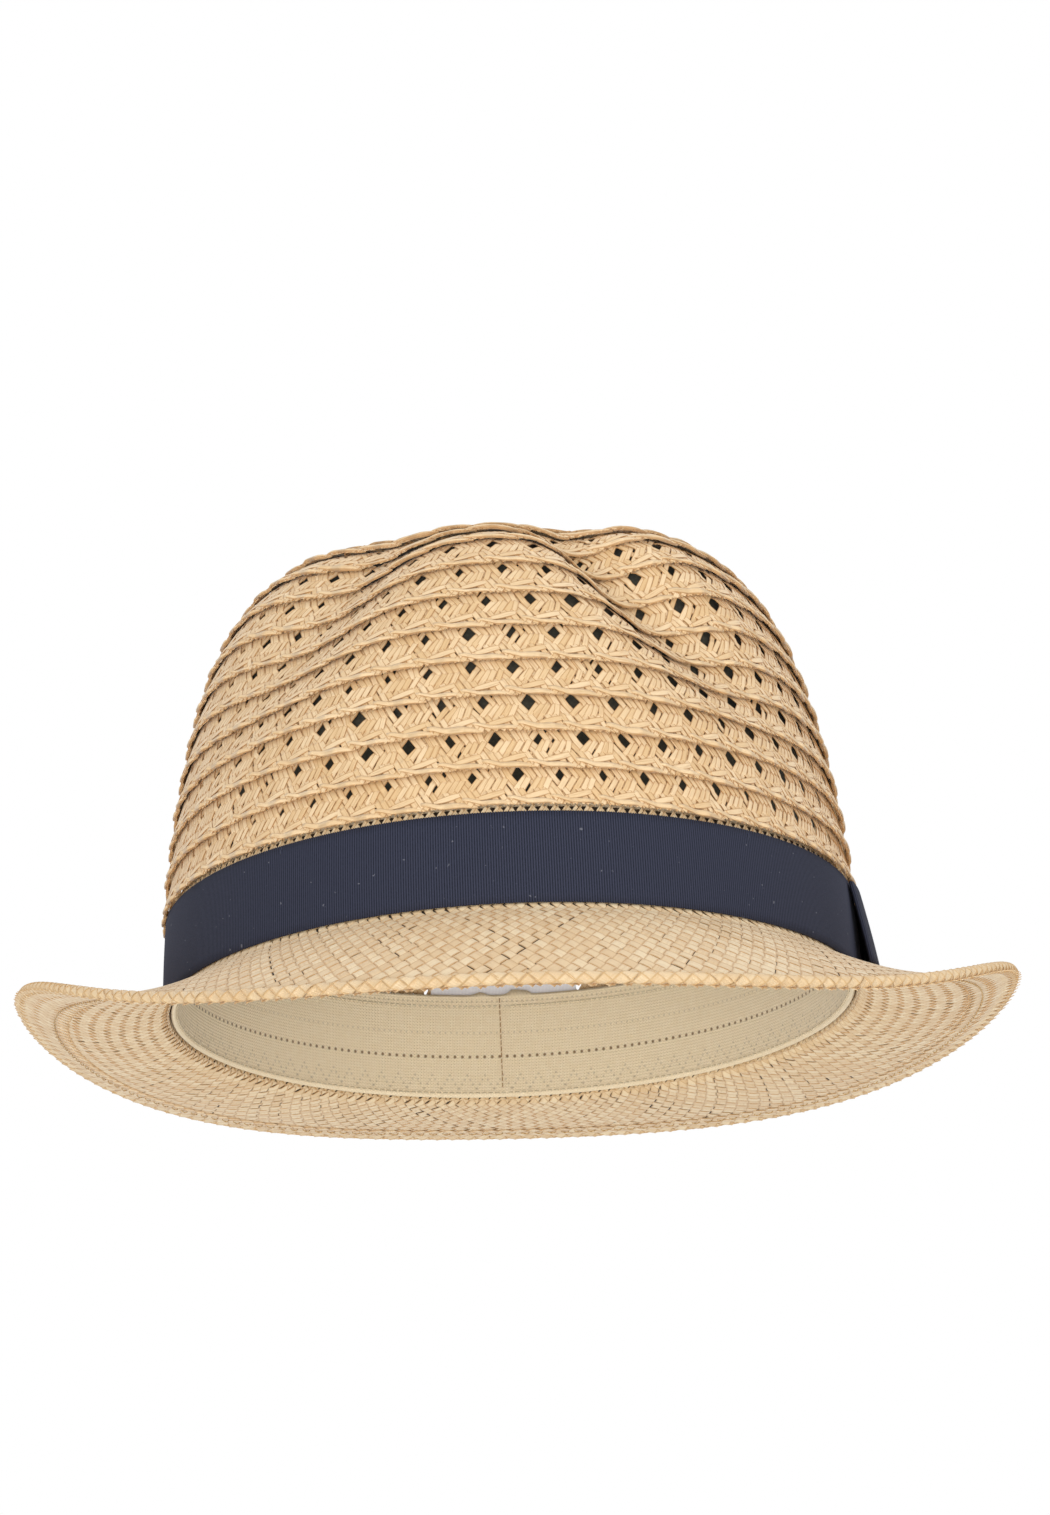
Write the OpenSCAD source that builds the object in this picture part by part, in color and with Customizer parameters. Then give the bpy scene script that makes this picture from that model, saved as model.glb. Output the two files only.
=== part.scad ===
// Straw trilby: sewn open-work braid crown, fine woven brim, grosgrain band.
// Origin at the middle of the head opening; the front of the hat faces -Y.
// Angles run round the hat from the front (0) towards the wearer's left (+X, 90).

/* [Head size] */
// Half length of the crown at the brim, front to back
crown_half_length = 100.5; // [94:0.5:108]
// Half width of the crown at the brim
crown_half_width = 86; // [80:0.5:92]

/* [Crown profile] */
// Lean of the wall at the brim, degrees from upright
wall_lean = 1; // [0:0.5:4]
// Extra lean for each millimetre up the wall
lean_rate = 0.17; // [0.1:0.01:0.2]
// Distance up the wall to the middle of the shoulder
shoulder_at = 111; // [104:1:116]
// How gently the shoulder turns
shoulder_round = 10.7; // [9:0.1:12]

/* [Blocking] */
// Depth of the crease along the top
dent_depth = 24; // [12:1:28]
// Half width of the crease along the top
dent_half_width = 24; // [18:1:28]
// Depth of the dimple at the front on the wearer's left
left_pinch = 11; // [4:1:12]
// Depth of the dimple at the front on the wearer's right
right_pinch = 8; // [4:1:12]
// How far the front peak is pressed down
peak_drop = 4.5; // [0:0.5:6]

/* [Braid] */
// Number of courses of braid between the brim and the tip
courses = 16; // [16:1:16]
// Height of the lowest braid edge above the brim, along the wall
first_course = 24; // [23:0.5:26]
// Spacing of the courses
course_pitch = 8.6; // [8.4:0.1:8.7]
// Width of the braid
braid_width = 10.6; // [10:0.1:11]
// Thickness of the braid
braid_thickness = 1.1; // [0.9:0.1:1.2]
// How far each lower edge stands outside the course below it
braid_lap = 1.6; // [1.5:0.1:2]
// How much higher the courses lie at the front than at the sides
course_rise = 7; // [0:1:8]

/* [Brim] */
// Mean reach of the brim from the crown
brim_reach = 40.4; // [36:0.1:46]
// How much further the brim reaches behind than in front
brim_back_extra = 4.5; // [0:0.5:6]
// How far the front edge is snapped down
brim_front_drop = 27; // [20:0.5:30]
// How far the side edges curl up
brim_side_rise = 7; // [0:0.5:12]
// Thickness of the woven brim
brim_thickness = 1; // [0.8:0.1:1.2]
// Diameter of the rolled edge
rim_roll = 2.9; // [2.6:0.1:3.4]
// Diameter of the wire in the rolled edge
wire_d = 1; // [0.8:0.1:1.2]
// Width of the hem turned under at the edge
hem_width = 8; // [6:0.5:10]

/* [Trimmings] */
// Height of the grosgrain band
ribbon_height = 22; // [18:0.5:22]
// Thickness of the grosgrain
ribbon_thickness = 0.7; // [0.5:0.1:0.8]
// Length of each bow loop round the hat, in degrees
bow_loop = 19; // [14:1:24]
// How far the bow stands off the band at its lower edge
bow_gap = 3; // [1:0.5:4]
// Height of the sweatband
sweatband_height = 28; // [24:0.5:30]
// Thickness of the sweatband
sweatband_thickness = 1; // [0.8:0.1:1.2]
// Width of the woven label
label_width = 40; // [30:1:50]
// Height of the woven label
label_height = 26; // [20:1:30]

/* [Hidden] */
around = 60;
brim_around = 96;
course_names = [for (k = [1 : courses]) str("braid_course_", k < 10 ? "0" : "", k)];

// Where along the wall a dimple slants, deepens and fades out.
dimple_middle = 70;
dimple_slant_run = 40;
dimple_start = 44;
dimple_start_run = 50;
dimple_end = 128;
dimple_end_run = 28;

// Where the crease along the top starts and ends, front to back.
crease_start = -66;
crease_start_run = 36;
crease_end = 84;
crease_end_run = 50;

// The front peak: half width, where it starts and how far up the wall.
peak_half_width = 30;
peak_start = -30;
peak_start_run = 40;
peak_from = 95;
peak_run = 25;

// The dimples lean inwards more than they sink.
pinch_in = 0.8;
pinch_down = 0.6;

// The brim's outline: extra width on the wearer's left, and waves round it.
brim_side_extra = 1.7;
reach_waves = [2, 3, -0.5];

// Its edge: how far the back stands up and the left side down, and how it settles and flutes.
brim_back_rise = 14;
brim_side_tilt = 1.9;
brim_settle = 2.25;
brim_flutes = 2.4;

// Between crown and edge: how it curves and sags, and the small bend up where it meets the crown.
brim_curve = 1.3;
brim_sag = 2.5;
brim_sag_change = 1.5;
bend_lift = 1.2;
bend_radius = 0.8;

// The courses level off towards the top over this run, and this far from the tip.
rise_run = 110;
rise_end_run = 60;

straw = "#d9b77c";
straw_fine = "#dfc492";
navy = "#1e2740";
cotton = "#e9dcba";
lining_grey = "#3c3a30";
clearance = 0.05;

// Offsets of the layers from the crown's nominal surface; inside is negative.
braid_inner = -1;
collar_inner = -brim_thickness;
collar_low = 1.2;
lining_outer = braid_inner - 0.35;
lining_thickness = 0.4;
lining_low = 49.6;
lining_step = 8;
lining_middle = 6;
label_gap = 0.2;
label_thickness = 0.3;
label_inner = collar_inner - label_gap - label_thickness;
sweat_outer = label_inner - 0.1;
sweat_inner = sweat_outer - sweatband_thickness;
ribbon_inner = clearance;
ribbon_outer = ribbon_inner + ribbon_thickness;
ribbon_low = 0.9;
ribbon_high = ribbon_low + ribbon_height;
bow_angle = 93;
bow_rest = ribbon_outer + 0.4;

// ---- Shared geometry ----

function smooth(t) =
    let (u = max(0, min(1, t)))
    u * u * (3 - 2 * u);

function lean(s) =
    let (wall = wall_lean + lean_rate * s)
    wall + (90 - wall) / (1 + exp((shoulder_at - s) / shoulder_round));

// Distance up the wall, inset and height, added up a millimetre at a time.
profile = [
    for (
        s = 0, inset = 0, height = 0;
        s <= 190;
        inset = inset + sin(lean(s + 0.5)), height = height + cos(lean(s + 0.5)), s = s + 1
    )
    [s, inset, height]
];
inset_at = [for (p = profile) [p[0], p[1]]];
height_at = [for (p = profile) [p[0], p[2]]];
crown_end = lookup(crown_half_width, [for (p = profile) [p[1], p[0]]]);

function dimple(side, depth, low_angle, high_angle, spread, s, a) =
    let (
        slant = max(-0.8, min(1, (s - dimple_middle) / dimple_slant_run)),
        middle = low_angle + (high_angle - low_angle) * slant
    )
    depth * exp(-pow((side * a - middle) / spread, 2))
    * smooth((s - dimple_start) / dimple_start_run) * smooth((dimple_end - s) / dimple_end_run);

function pinch(s, a) =
    let (b = a > 180 ? a - 360 : a)
    dimple(1, left_pinch, 36, 18, 11, s, b) + dimple(-1, right_pinch, 46, 32, 17, s, b);

function top_dent(x, y) =
    dent_depth * exp(-pow(x / dent_half_width, 2))
    * smooth((y - crease_start) / crease_start_run) * smooth((crease_end - y) / crease_end_run);

function peak(x, y, s) =
    peak_drop * exp(-pow(x / peak_half_width, 2))
    * smooth((peak_start - y) / peak_start_run) * smooth((s - peak_from) / peak_run);

// A point on the blocked crown: s up the wall, n outside it, a round it.
function crown_point(s, n, a) =
    let (
        inset = min(lookup(s, inset_at), crown_half_width) - n * cos(lean(s)),
        long = max(crown_half_length - inset, 0.4),
        wide = max(crown_half_width - inset, 0.4),
        out = [sin(a) * crown_half_length, -cos(a) * crown_half_width],
        press = pinch(s, a),
        flat = [wide * sin(a), -long * cos(a)] - out / norm(out) * press * pinch_in,
        height = lookup(s, height_at) + n * sin(lean(s)) - press * pinch_down,
        x = flat[0],
        y = flat[1]
    )
    [x, y, height - top_dent(x, y) - peak(x, y, s)];

// The same point with s measured along the courses, which rise at the front.
function course_point(s, n, a) =
    crown_point(
        s + course_rise * smooth(s / rise_run) * smooth((crown_end - s) / rise_end_run) * cos(a), n, a
    );

// Waves two, three and four times round the hat, by their heights.
function waves(heights, a) =
    heights[0] * cos(2 * a) + heights[1] * cos(3 * a) + heights[2] * cos(4 * a);

// Reach and height of the brim's edge at each angle.
function reach(a) =
    brim_reach - brim_back_extra * cos(a) + brim_side_extra * sin(a) + waves(reach_waves, a);

function edge_height(a) =
    let (
        middle = (brim_side_rise - brim_front_drop / 2) / 2 - brim_settle,
        curl = (brim_side_rise + brim_front_drop / 2) / 2
    )
    middle - brim_back_rise * cos(a) - brim_side_tilt * sin(a) + waves([-curl, 0, brim_flutes], a);

// Height of the brim at u out from the crown: it sags a little between crown and edge.
function brim_height(u, a) =
    let (r = u / reach(a), sag = brim_sag - brim_sag_change * cos(2 * a))
    edge_height(a) * pow(r, brim_curve) - 4 * sag * r * (1 - r) + bend_lift * exp(-u / bend_radius);

function brim_slope(u, a) = atan((brim_height(u + 0.1, a) - brim_height(u, a)) / 0.1);

// A point n above the brim, u out from the crown.
function brim_point(u, n, a) =
    let (
        out = [sin(a) * crown_half_length, -cos(a) * crown_half_width],
        slope = brim_slope(u, a),
        reach_out = u - n * sin(slope),
        flat = [crown_half_width * sin(a), -crown_half_length * cos(a)] + out / norm(out) * reach_out
    )
    [flat[0], flat[1], brim_height(u, a) + n * cos(slope)];

function flatten(list) = [for (row = list) for (item = row) item];

// Triangles of a skin over count sections of size points each.
function skin(count, size, closed) = [
    for (i = [0 : count - (closed ? 1 : 2)])
    for (j = [0 : size - 1])
    let (
        here = i * size + j,
        up = i * size + (j + 1) % size,
        next = ((i + 1) % count) * size + j,
        next_up = ((i + 1) % count) * size + (j + 1) % size
    )
    each [[here, next_up, up], [here, next, next_up]]
];

// A solid that runs all the way round the hat through the given sections.
module hoop(sections) {
    size = len(sections[0]);
    polyhedron(points = flatten(sections), faces = skin(len(sections), size, true));
}

// A solid that runs through the given sections and is closed at both ends.
module strip(sections) {
    size = len(sections[0]);
    last = (len(sections) - 1) * size;
    start_cap = [for (j = [1 : size - 2]) [0, j, j + 1]];
    end_cap = [for (j = [1 : size - 2]) [last, last + j + 1, last + j]];
    polyhedron(
        points = flatten(sections),
        faces = concat(skin(len(sections), size, false), start_cap, end_cap)
    );
}

// A bowl-shaped solid between inner and outer rings, listed from its rim to its middle, and closed
// across the last ring of each.
module bowl(inner, outer) {
    rings = len(inner);
    count = len(inner[0]);
    half = count / 2;
    levels = concat(inner, [for (i = [rings - 1 : -1 : 0]) outer[i]]);
    walls = [
        for (l = [0 : 2 * rings - 1])
        if (l != rings - 1)
        for (i = [0 : count - 1])
        let (
            here = l * count + i,
            next = l * count + (i + 1) % count,
            above = ((l + 1) % (2 * rings)) * count + i,
            above_next = ((l + 1) % (2 * rings)) * count + (i + 1) % count
        )
        each [[here, above_next, above], [here, next, above_next]]
    ];
    function across(base, flip) = [
        for (i = [0 : half - 1])
        let (
            here = base + i,
            next = base + i + 1,
            far = base + (count - i) % count,
            far_next = base + count - i - 1
        )
        each concat(
            i == half - 1 ? [] : [flip ? [here, far_next, next] : [here, next, far_next]],
            i == 0 ? [] : [flip ? [here, far, far_next] : [here, far_next, far]]
        )
    ];
    middles = concat(across((rings - 1) * count, false), across(rings * count, true));
    polyhedron(points = flatten(levels), faces = concat(walls, middles));
}

// A small stitch lying on the crown, along the course or up the wall.
module stitch(s, n, a, length, upright = false) {
    p = crown_point(s, n, a);
    q = crown_point(s, n, a + 0.5);
    turn = atan2(q[1] - p[1], q[0] - p[0]);
    size = upright ? [0.4, 0.35, length] : [length, 0.35, 0.4];
    translate(p)
        rotate([0, 0, turn])
            cube(size, center = true);
}

// ---- Crown ----

// One course of open-work braid; its lower edge laps outside the course below.
module braid_course(k) {
    low = first_course + (k - 1) * course_pitch;
    high = low + braid_width;
    color(straw)
        hoop([
            for (i = [0 : around - 1])
            let (a = i * 360 / around)
            [
                course_point(low, braid_inner + braid_lap, a),
                course_point(high, braid_inner, a),
                course_point(high, braid_inner + braid_thickness, a),
                course_point(low, braid_inner + braid_lap + braid_thickness, a)
            ]
        ]);
}

// The oblong coil where the braid starts, closing the middle of the crown.
module crown_tip() {
    low = first_course + courses * course_pitch;
    rings = [low, low + 3, low + 6];
    skin_in = braid_inner + braid_lap;
    function ring(s, n) = [for (i = [0 : around - 1]) course_point(s, n, i * 360 / around)];
    color(straw)
        bowl([for (s = rings) ring(s, skin_in)], [for (s = rings) ring(s, skin_in + braid_thickness)]);
}

// Thin dark lining inside the upper crown, sewn in above the label.
module crown_lining() {
    last = crown_end - lining_middle;
    rings = concat([for (s = [lining_low : lining_step : last - lining_middle]) s], [last]);
    function ring(s, n) = [for (i = [0 : around - 1]) crown_point(s, n, i * 360 / around)];
    color(lining_grey)
        bowl(
            [for (s = rings) ring(s, lining_outer - lining_thickness)],
            [for (s = rings) ring(s, lining_outer)]
        );
}

// ---- Brim ----

// The brim, a sheet of fine weave from the bend at the crown to the rolled edge.
module brim() {
    outs = [0, 0.8, 2.5, 8, 16, 24, 32];
    color(straw_fine)
        hoop([
            for (i = [0 : brim_around - 1])
            let (
                a = i * 360 / brim_around,
                edge = reach(a) - rim_roll - clearance,
                spread = edge / 36
            )
            concat(
                [for (u = outs) brim_point(u * spread, 0, a)],
                [brim_point(edge, 0, a), brim_point(edge, -brim_thickness, a)],
                [for (j = [len(outs) - 1 : -1 : 1]) brim_point(outs[j] * spread, -brim_thickness, a)],
                [crown_point(0.2, collar_inner, a), crown_point(collar_low, collar_inner, a)]
            )
        ]);
}

// The same weave turned up under the band, where the lowest course is sewn to it.
module brim_collar() {
    color(straw_fine)
        hoop([
            for (i = [0 : brim_around - 1])
            let (a = i * 360 / brim_around)
            [
                crown_point(collar_low + clearance, collar_inner, a),
                crown_point(first_course + 0.6, collar_inner, a),
                crown_point(first_course + 0.6, 0, a),
                crown_point(collar_low + clearance, 0, a)
            ]
        ]);
}

// The weave turned under along the edge.
module brim_hem() {
    top = -brim_thickness - clearance;
    color(straw_fine)
        hoop([
            for (i = [0 : brim_around - 1])
            let (
                a = i * 360 / brim_around,
                edge = reach(a) - rim_roll - clearance
            )
            [
                brim_point(edge, top, a),
                brim_point(edge, top - 0.6, a),
                brim_point(edge - hem_width, top - 0.6, a),
                brim_point(edge - hem_width, top, a)
            ]
        ]);
}

// A point at angle t round the middle of the rolled edge, d / 2 from it.
function roll_point(a, d, t) =
    brim_point(reach(a) - rim_roll / 2 + d / 2 * cos(t), -brim_thickness / 2 - d / 2 * sin(t), a);

function roll_section(a, d, sides) = [for (j = [0 : sides - 1]) roll_point(a, d, j * 360 / sides)];

// Rolled edge: the weave curls round the wire, and its mouth faces the crown.
module brim_rim() {
    bore = wire_d + 0.9;
    color(straw_fine)
        hoop([
            for (i = [0 : brim_around - 1])
            let (a = i * 360 / brim_around)
            concat(
                [for (t = [-152 : 38 : 152]) roll_point(a, rim_roll, t)],
                [for (t = [152 : -76 : -152]) roll_point(a, bore, t)]
            )
        ]);
}

// Wire that keeps the brim's shape, a turn with its ends meeting at the back.
module brim_wire() {
    color("silver")
        strip([for (i = [0 : brim_around]) roll_section(180.5 + i * 359 / brim_around, wire_d, 6)]);
}

// Crimped sleeve over the meeting ends of the wire.
module wire_sleeve() {
    color("gray")
        difference() {
            strip([for (i = [-4 : 4]) roll_section(180 + i, wire_d + 0.7, 6)]);
            strip([for (i = [-5 : 5]) roll_section(180 + i, wire_d + 0.2, 6)]);
        }
}

// Stitches that hold the hem.
module hem_stitches() {
    color(straw)
        for (i = [0 : 59]) {
            a = i * 6 + 3;
            p = brim_point(reach(a) - rim_roll - hem_width + 1.5, -brim_thickness - 0.95, a);
            q = brim_point(reach(a + 1) - rim_roll - hem_width + 1.5, -brim_thickness - 0.95, a + 1);
            step = q - p;
            translate(p)
                rotate([0, -asin(step[2] / norm(step)), atan2(step[1], step[0])])
                    cube([3, 0.4, 0.3], center = true);
        }
}

// ---- Band and bow ----

module ribbon_band() {
    color(navy)
        hoop([
            for (i = [0 : brim_around - 1])
            let (a = i * 360 / brim_around)
            [
                crown_point(ribbon_low, ribbon_inner, a),
                crown_point(ribbon_high, ribbon_inner, a),
                crown_point(ribbon_high, ribbon_outer, a),
                crown_point(ribbon_low, ribbon_outer, a)
            ]
        ]);
}

// Thread tacks over the band's top edge.
module ribbon_tacks() {
    color(navy)
        for (a = [40, 140, 220, 320])
            stitch(ribbon_high - 1.5, ribbon_outer + 0.25, a, 2, true);
}

// Section of bow ribbon between two faces, each at its own angle and offset. The
// lower edge of the whole bow stands off the band by bow_gap.
function bow_section(near_a, near_n, far_a, far_n) = [
    crown_point(ribbon_low + 0.6, bow_rest + bow_gap + near_n, near_a),
    crown_point(ribbon_high - 0.6, bow_rest + near_n, near_a),
    crown_point(ribbon_high - 0.6, bow_rest + far_n, far_a),
    crown_point(ribbon_low + 0.6, bow_rest + bow_gap + far_n, far_a)
];

// A flat loop: out from the keeper on the lower layer, round the fold and back on top.
module bow_loop_solid(side) {
    steps = 10;
    thick = 0.6;
    turns = [for (i = [0 : steps]) bow_angle + side * bow_loop * i / steps];
    puffs = [for (i = [0 : steps]) 0.7 + 0.8 * sin(180 * i / steps)];
    end = bow_angle + side * bow_loop;
    path = concat(
        [for (a = turns) bow_section(a, 0, a, thick)],
        [bow_section(end + side * 0.5, 0.4, end + side * 0.1, thick + 0.02)],
        [bow_section(end + side * 0.5, 0.9, end + side * 0.1, thick + 0.08)],
        [for (i = [steps : -1 : 0]) bow_section(turns[i], puffs[i] + thick, turns[i], puffs[i])]
    );
    color(navy)
        strip(side > 0 ? path : [for (i = [len(path) - 1 : -1 : 0]) path[i]]);
}

module bow_front_loop() {
    bow_loop_solid(-1);
}

module bow_rear_loop() {
    bow_loop_solid(1);
}

// Short piece of ribbon wrapped upright round the middle of the bow.
module bow_keeper() {
    inner = ribbon_outer + 0.05;
    wrap = 2.2;
    color(navy)
        difference() {
            strip([
                for (i = [-3 : 3])
                let (a = bow_angle + i)
                [
                    crown_point(ribbon_low, inner, a),
                    crown_point(ribbon_high, inner, a),
                    crown_point(ribbon_high, bow_rest + wrap + 0.5, a),
                    crown_point(ribbon_low, bow_rest + bow_gap + wrap + 0.5, a)
                ]
            ]);
            strip([
                for (i = [-4 : 4])
                let (a = bow_angle + i)
                [
                    crown_point(ribbon_low + 0.5, inner + 0.3, a),
                    crown_point(ribbon_high - 0.5, inner + 0.3, a),
                    crown_point(ribbon_high - 0.5, bow_rest + wrap, a),
                    crown_point(ribbon_low + 0.5, bow_rest + bow_gap + wrap, a)
                ]
            ]);
        }
}

// ---- Inside ----

module sweatband() {
    color(cotton)
        hoop([
            for (i = [0 : brim_around - 1])
            let (a = i * 360 / brim_around)
            [
                crown_point(0.3, sweat_inner, a),
                crown_point(sweatband_height, sweat_inner, a),
                crown_point(sweatband_height, sweat_outer, a),
                crown_point(0.3, sweat_outer, a)
            ]
        ]);
}

module stitch_row(s, count, length) {
    color("ivory")
        for (i = [0 : count - 1])
            stitch(s, sweat_inner - 0.25, (i + 0.5) * 360 / count, length);
}

module sweatband_top_stitches() {
    stitch_row(sweatband_height - 3, 60, 3);
}

module sweatband_lower_stitches() {
    stitch_row(3, 60, 3);
}

// Thread of the seam that joins the sweatband's ends at the centre back.
module sweatband_seam_thread() {
    color("tan")
        for (i = [0 : 7])
            stitch(2 + i * 3.2, sweat_inner - 0.25, 180.8, 2.4, true);
}

module inner_label() {
    half = asin(label_width / 2 / crown_half_width);
    low = sweatband_height - 5;
    color("white")
        strip([
            for (i = [-6 : 6])
            let (a = 180 + half * i / 6)
            [
                crown_point(low, label_inner, a),
                crown_point(low + label_height, label_inner, a),
                crown_point(low + label_height, label_inner + label_thickness, a),
                crown_point(low, label_inner + label_thickness, a)
            ]
        ]);
}

module label_stitches() {
    half = asin(label_width / 2 / crown_half_width) - 0.6;
    top = sweatband_height - 5 + label_height - 1.2;
    color("white")
        for (i = [-6 : 6])
            stitch(top, label_inner - 0.22, 180 + half * i / 6, 2);
}

for (k = [1 : courses])
    braid_course(k);
crown_tip();
crown_lining();
brim();
brim_collar();
brim_hem();
brim_rim();
brim_wire();
wire_sleeve();
hem_stitches();
ribbon_band();
ribbon_tacks();
bow_front_loop();
bow_rear_loop();
bow_keeper();
sweatband();
sweatband_top_stitches();
sweatband_lower_stitches();
sweatband_seam_thread();
inner_label();
label_stitches();
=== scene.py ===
"""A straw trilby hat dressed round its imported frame: open-work braid crown, plaited brim with a rolled and
wired edge, grosgrain band and bow, knitted cotton sweatband and a plain satin label."""

import math

import bmesh
import bpy
import numpy as np
from mathutils import Matrix, Vector


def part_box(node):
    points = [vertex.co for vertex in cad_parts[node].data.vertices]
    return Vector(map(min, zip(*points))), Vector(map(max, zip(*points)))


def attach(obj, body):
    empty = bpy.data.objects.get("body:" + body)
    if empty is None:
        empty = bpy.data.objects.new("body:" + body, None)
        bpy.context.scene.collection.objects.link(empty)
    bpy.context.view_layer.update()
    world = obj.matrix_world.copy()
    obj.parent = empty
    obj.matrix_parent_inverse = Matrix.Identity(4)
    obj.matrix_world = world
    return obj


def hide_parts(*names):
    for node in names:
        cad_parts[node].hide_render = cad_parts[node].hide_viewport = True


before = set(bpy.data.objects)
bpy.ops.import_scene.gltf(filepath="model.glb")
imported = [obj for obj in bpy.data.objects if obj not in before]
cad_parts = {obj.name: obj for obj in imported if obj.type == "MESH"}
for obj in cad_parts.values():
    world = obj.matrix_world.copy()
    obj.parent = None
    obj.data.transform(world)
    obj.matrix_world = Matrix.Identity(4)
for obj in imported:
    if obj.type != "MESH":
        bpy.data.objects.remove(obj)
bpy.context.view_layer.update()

# ---- Camera ----
# A long lens in front of the hat and well below it, tipped up so that the inside shows under the brim.
view_distance = 1.3431
view_below = math.radians(13.659)
view_round = math.radians(-1.485)
view_roll = math.radians(-2.418)
looked_at = Vector((0.0055, 0, 0.0651))
eye = view_distance * Vector((
    math.sin(view_round) * math.cos(view_below),
    -math.cos(view_round) * math.cos(view_below),
    -math.sin(view_below),
))
lens = bpy.data.cameras.new("camera")
lens.lens = 128.6
lens.sensor_width = 36
camera = bpy.data.objects.new("camera", lens)
aim = (looked_at - eye).to_track_quat("-Z", "Y").to_matrix().to_4x4()
camera.matrix_world = Matrix.Translation(eye) @ aim @ Matrix.Rotation(view_roll, 4, "Z")
bpy.context.collection.objects.link(camera)
bpy.context.scene.camera = camera


# ---- Studio ----
# A pale floor below the hat, clear from beneath, and a white surround that is dimmer as light than to look
# at. One large soft light ahead on the hat's left is the key; a low one in front lifts the underside.
def add_node(tree, kind, inputs=None, **settings):
    """Adds a node with its settings, and gives each named input a value or a link from a socket."""
    node = tree.nodes.new(kind)
    for name, value in settings.items():
        setattr(node, name, value)
    for name, value in (inputs or {}).items():
        if isinstance(value, bpy.types.NodeSocket):
            tree.links.new(value, node.inputs[name])
        else:
            node.inputs[name].default_value = value
    return node


def colour(hex_code):
    """An sRGB hex value as a linear colour."""
    parts = [int(hex_code[i:i + 2], 16) / 255 for i in (1, 3, 5)]
    return [p / 12.92 if p <= 0.04045 else ((p + 0.055) / 1.055) ** 2.4 for p in parts] + [1]


floor_height = -0.6
floor_radius = 3
surround_light = 0.78

bm = bmesh.new()
bmesh.ops.create_circle(
    bm, cap_ends=True, segments=64, radius=floor_radius, matrix=Matrix.Translation((0, 0, floor_height))
)
floor_mesh = bpy.data.meshes.new("floor")
bm.to_mesh(floor_mesh)
bm.free()
floor = bpy.data.objects.new("floor", floor_mesh)
bpy.context.collection.objects.link(floor)

painted_floor = bpy.data.materials.new("pale_painted_floor")
painted_floor.use_nodes = True
tree = painted_floor.node_tree
tree.nodes.clear()
paint = add_node(tree, "ShaderNodeBsdfDiffuse", {"Color": colour("#f2f0ec")})
clear = add_node(tree, "ShaderNodeBsdfTransparent")
side = add_node(tree, "ShaderNodeNewGeometry")
one_sided = add_node(tree, "ShaderNodeMixShader", {
    0: side.outputs["Backfacing"], 1: paint.outputs[0], 2: clear.outputs[0],
})
add_node(tree, "ShaderNodeOutputMaterial", {"Surface": one_sided.outputs[0]})
floor_mesh.materials.append(painted_floor)

world = bpy.data.worlds.new("surround")
bpy.context.scene.world = world
world.use_nodes = True
tree = world.node_tree
tree.nodes.clear()
path = add_node(tree, "ShaderNodeLightPath")
glow = add_node(tree, "ShaderNodeMapRange", {
    "Value": path.outputs["Is Camera Ray"], "To Min": surround_light, "To Max": 1.0,
})
white = add_node(tree, "ShaderNodeBackground", {"Color": (1, 1, 1, 1), "Strength": glow.outputs[0]})
add_node(tree, "ShaderNodeOutputWorld", {"Surface": white.outputs[0]})

for name, place, size, power in (
    ("key", (1.3, -1.5, 0.5), 0.9, 6),
    ("low_front", (-0.25, -1.3, -0.7), 0.9, 22),
    ("top", (0.2, 0.3, 1.6), 1.2, 3),
):
    soft = bpy.data.lights.new(name, "AREA")
    soft.size = size
    soft.energy = power
    lamp = bpy.data.objects.new(name, soft)
    lamp.matrix_world = (
        Matrix.Translation(place) @ (looked_at - Vector(place)).to_track_quat("-Z", "Y").to_matrix().to_4x4()
    )
    bpy.context.collection.objects.link(lamp)
bpy.context.scene.view_settings.view_transform = "Standard"


# ---- Crown block ----
# The shape that the crown is blocked on, in millimetres: s runs up the wall from the brim, n outwards
# from the surface, and angle from the front round towards the wearer's left. The braid is sewn along it.
MM = 0.001
collar_low, collar_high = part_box("brim_collar")
half_width = (collar_high.x - collar_low.x) / 2 / MM
half_length = (collar_high.y - collar_low.y) / 2 / MM


def smooth(t):
    t = np.clip(t, 0, 1)
    return t * t * (3 - 2 * t)


def lean(s):
    """Lean of the wall from upright: nearly straight, then over the shoulder to the flat top."""
    wall = 1 + 0.17 * s
    return np.radians(wall + (90 - wall) / (1 + np.exp((111 - s) / 10.7)))


wall_run = np.arange(191.0)
wall_inset = np.concatenate([[0], np.cumsum(np.sin(lean(wall_run[:-1] + 0.5)))])
wall_height = np.concatenate([[0], np.cumsum(np.cos(lean(wall_run[:-1] + 0.5)))])
crown_end = np.interp(half_width, wall_inset, wall_run)


def dimple(side, depth, low_angle, high_angle, spread, s, degrees):
    middle = low_angle + (high_angle - low_angle) * np.clip((s - 70) / 40, -0.8, 1)
    fade = smooth((s - 44) / 50) * smooth((128 - s) / 28)
    return depth * np.exp(-(((side * degrees - middle) / spread) ** 2)) * fade


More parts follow.
